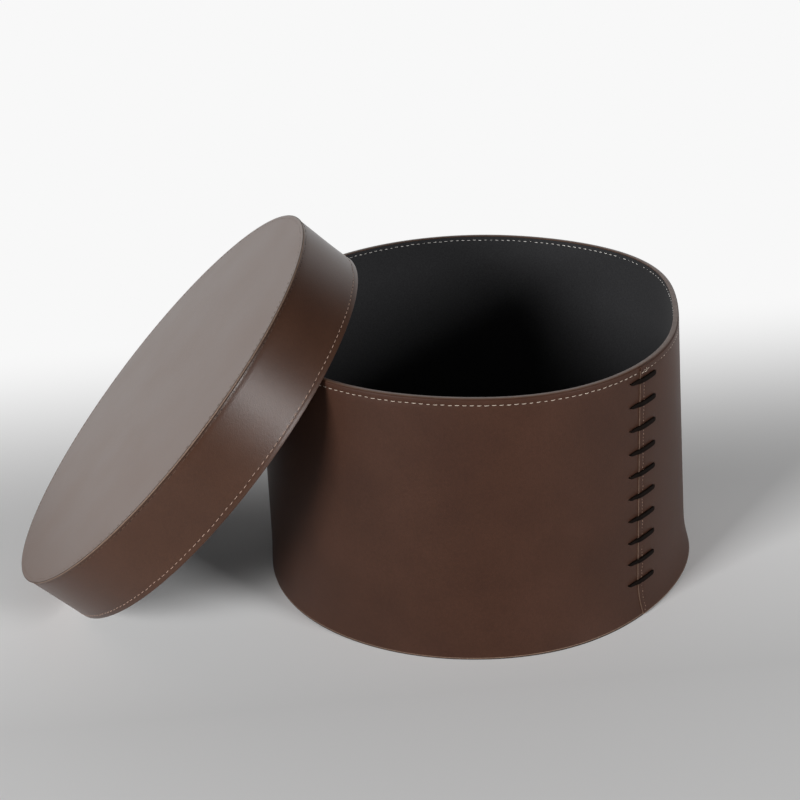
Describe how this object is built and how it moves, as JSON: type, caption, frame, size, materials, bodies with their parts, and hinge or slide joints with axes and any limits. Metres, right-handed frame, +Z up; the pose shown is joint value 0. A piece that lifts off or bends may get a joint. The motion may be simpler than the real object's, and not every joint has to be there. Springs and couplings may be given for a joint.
{
  "type": "leather storage box",
  "caption": "Round leather storage box with a laced lap seam and a charcoal lining; its deep lift-off lid leans on the rim.",
  "frame": {"origin": "middle of the underside of the box's base, on the floor", "axes": "+Z up along the box's axis; the lid leans along -X, so X is the longest extent; the laced seam is on the +X -Y side of the wall"},
  "size_m": [0.6473, 0.4192, 0.3414],
  "materials": {
    "brown_leather": "smooth brown leather with a fine grain and a satin surface",
    "under_leather": "dark plain leather",
    "lace": "dark waxed lace",
    "lining": "charcoal suede",
    "board": "grey-brown board"
  },
  "bodies": {
    "box": {"wall_leather": "brown_leather", "seam_lacing": "lace", "wall_board": "board", "wall_lining": "lining", "base_leather": "under_leather", "base_board": "board", "base_lining": "lining"},
    "lid": {"lid_skirt_leather": "brown_leather", "lid_skirt_board": "board", "lid_skirt_lining": "lining", "lid_panel_leather": "brown_leather", "lid_panel_board": "board", "lid_panel_lining": "lining"}
  },
  "joints": [
    {"name": "lid_lift", "type": "slide", "parent": "box", "child": "lid", "axis": [-0.7117, 0, 0.7025], "range_m": [0, 0.25]}
  ]
}
